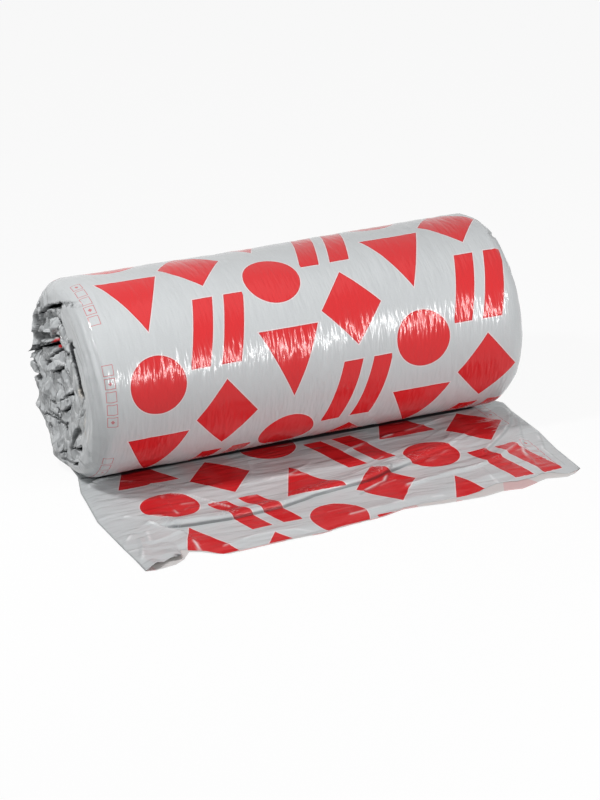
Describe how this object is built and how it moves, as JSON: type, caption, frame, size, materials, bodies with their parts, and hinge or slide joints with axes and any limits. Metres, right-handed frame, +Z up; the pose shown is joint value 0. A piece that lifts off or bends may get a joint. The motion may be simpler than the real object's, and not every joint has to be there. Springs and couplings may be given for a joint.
{
  "type": "insulation roll",
  "caption": "Roll of stone wool insulation mat wound up in printed silver-grey film, lying on its side with the empty film end spread out in front.",
  "frame": {"origin": "on the floor below the middle of the roll's axis, on the flat underside of the film", "axes": "+X along the roll's axis, -Y the way the loose film lies, +Z up"},
  "size_m": [1.064, 0.7353, 0.4418],
  "materials": {
    "stone_wool": "matt, fibrous, compressed stone wool",
    "printed_film": "silver-grey polyethylene film with red print, softly glossy, finely wrinkled",
    "printed_film_tail": "the same film, flattened to two layers"
  },
  "bodies": {
    "root": {"wool_mat": "stone_wool", "film_wrap": "printed_film", "film_tail": "printed_film_tail"}
  },
  "joints": []
}
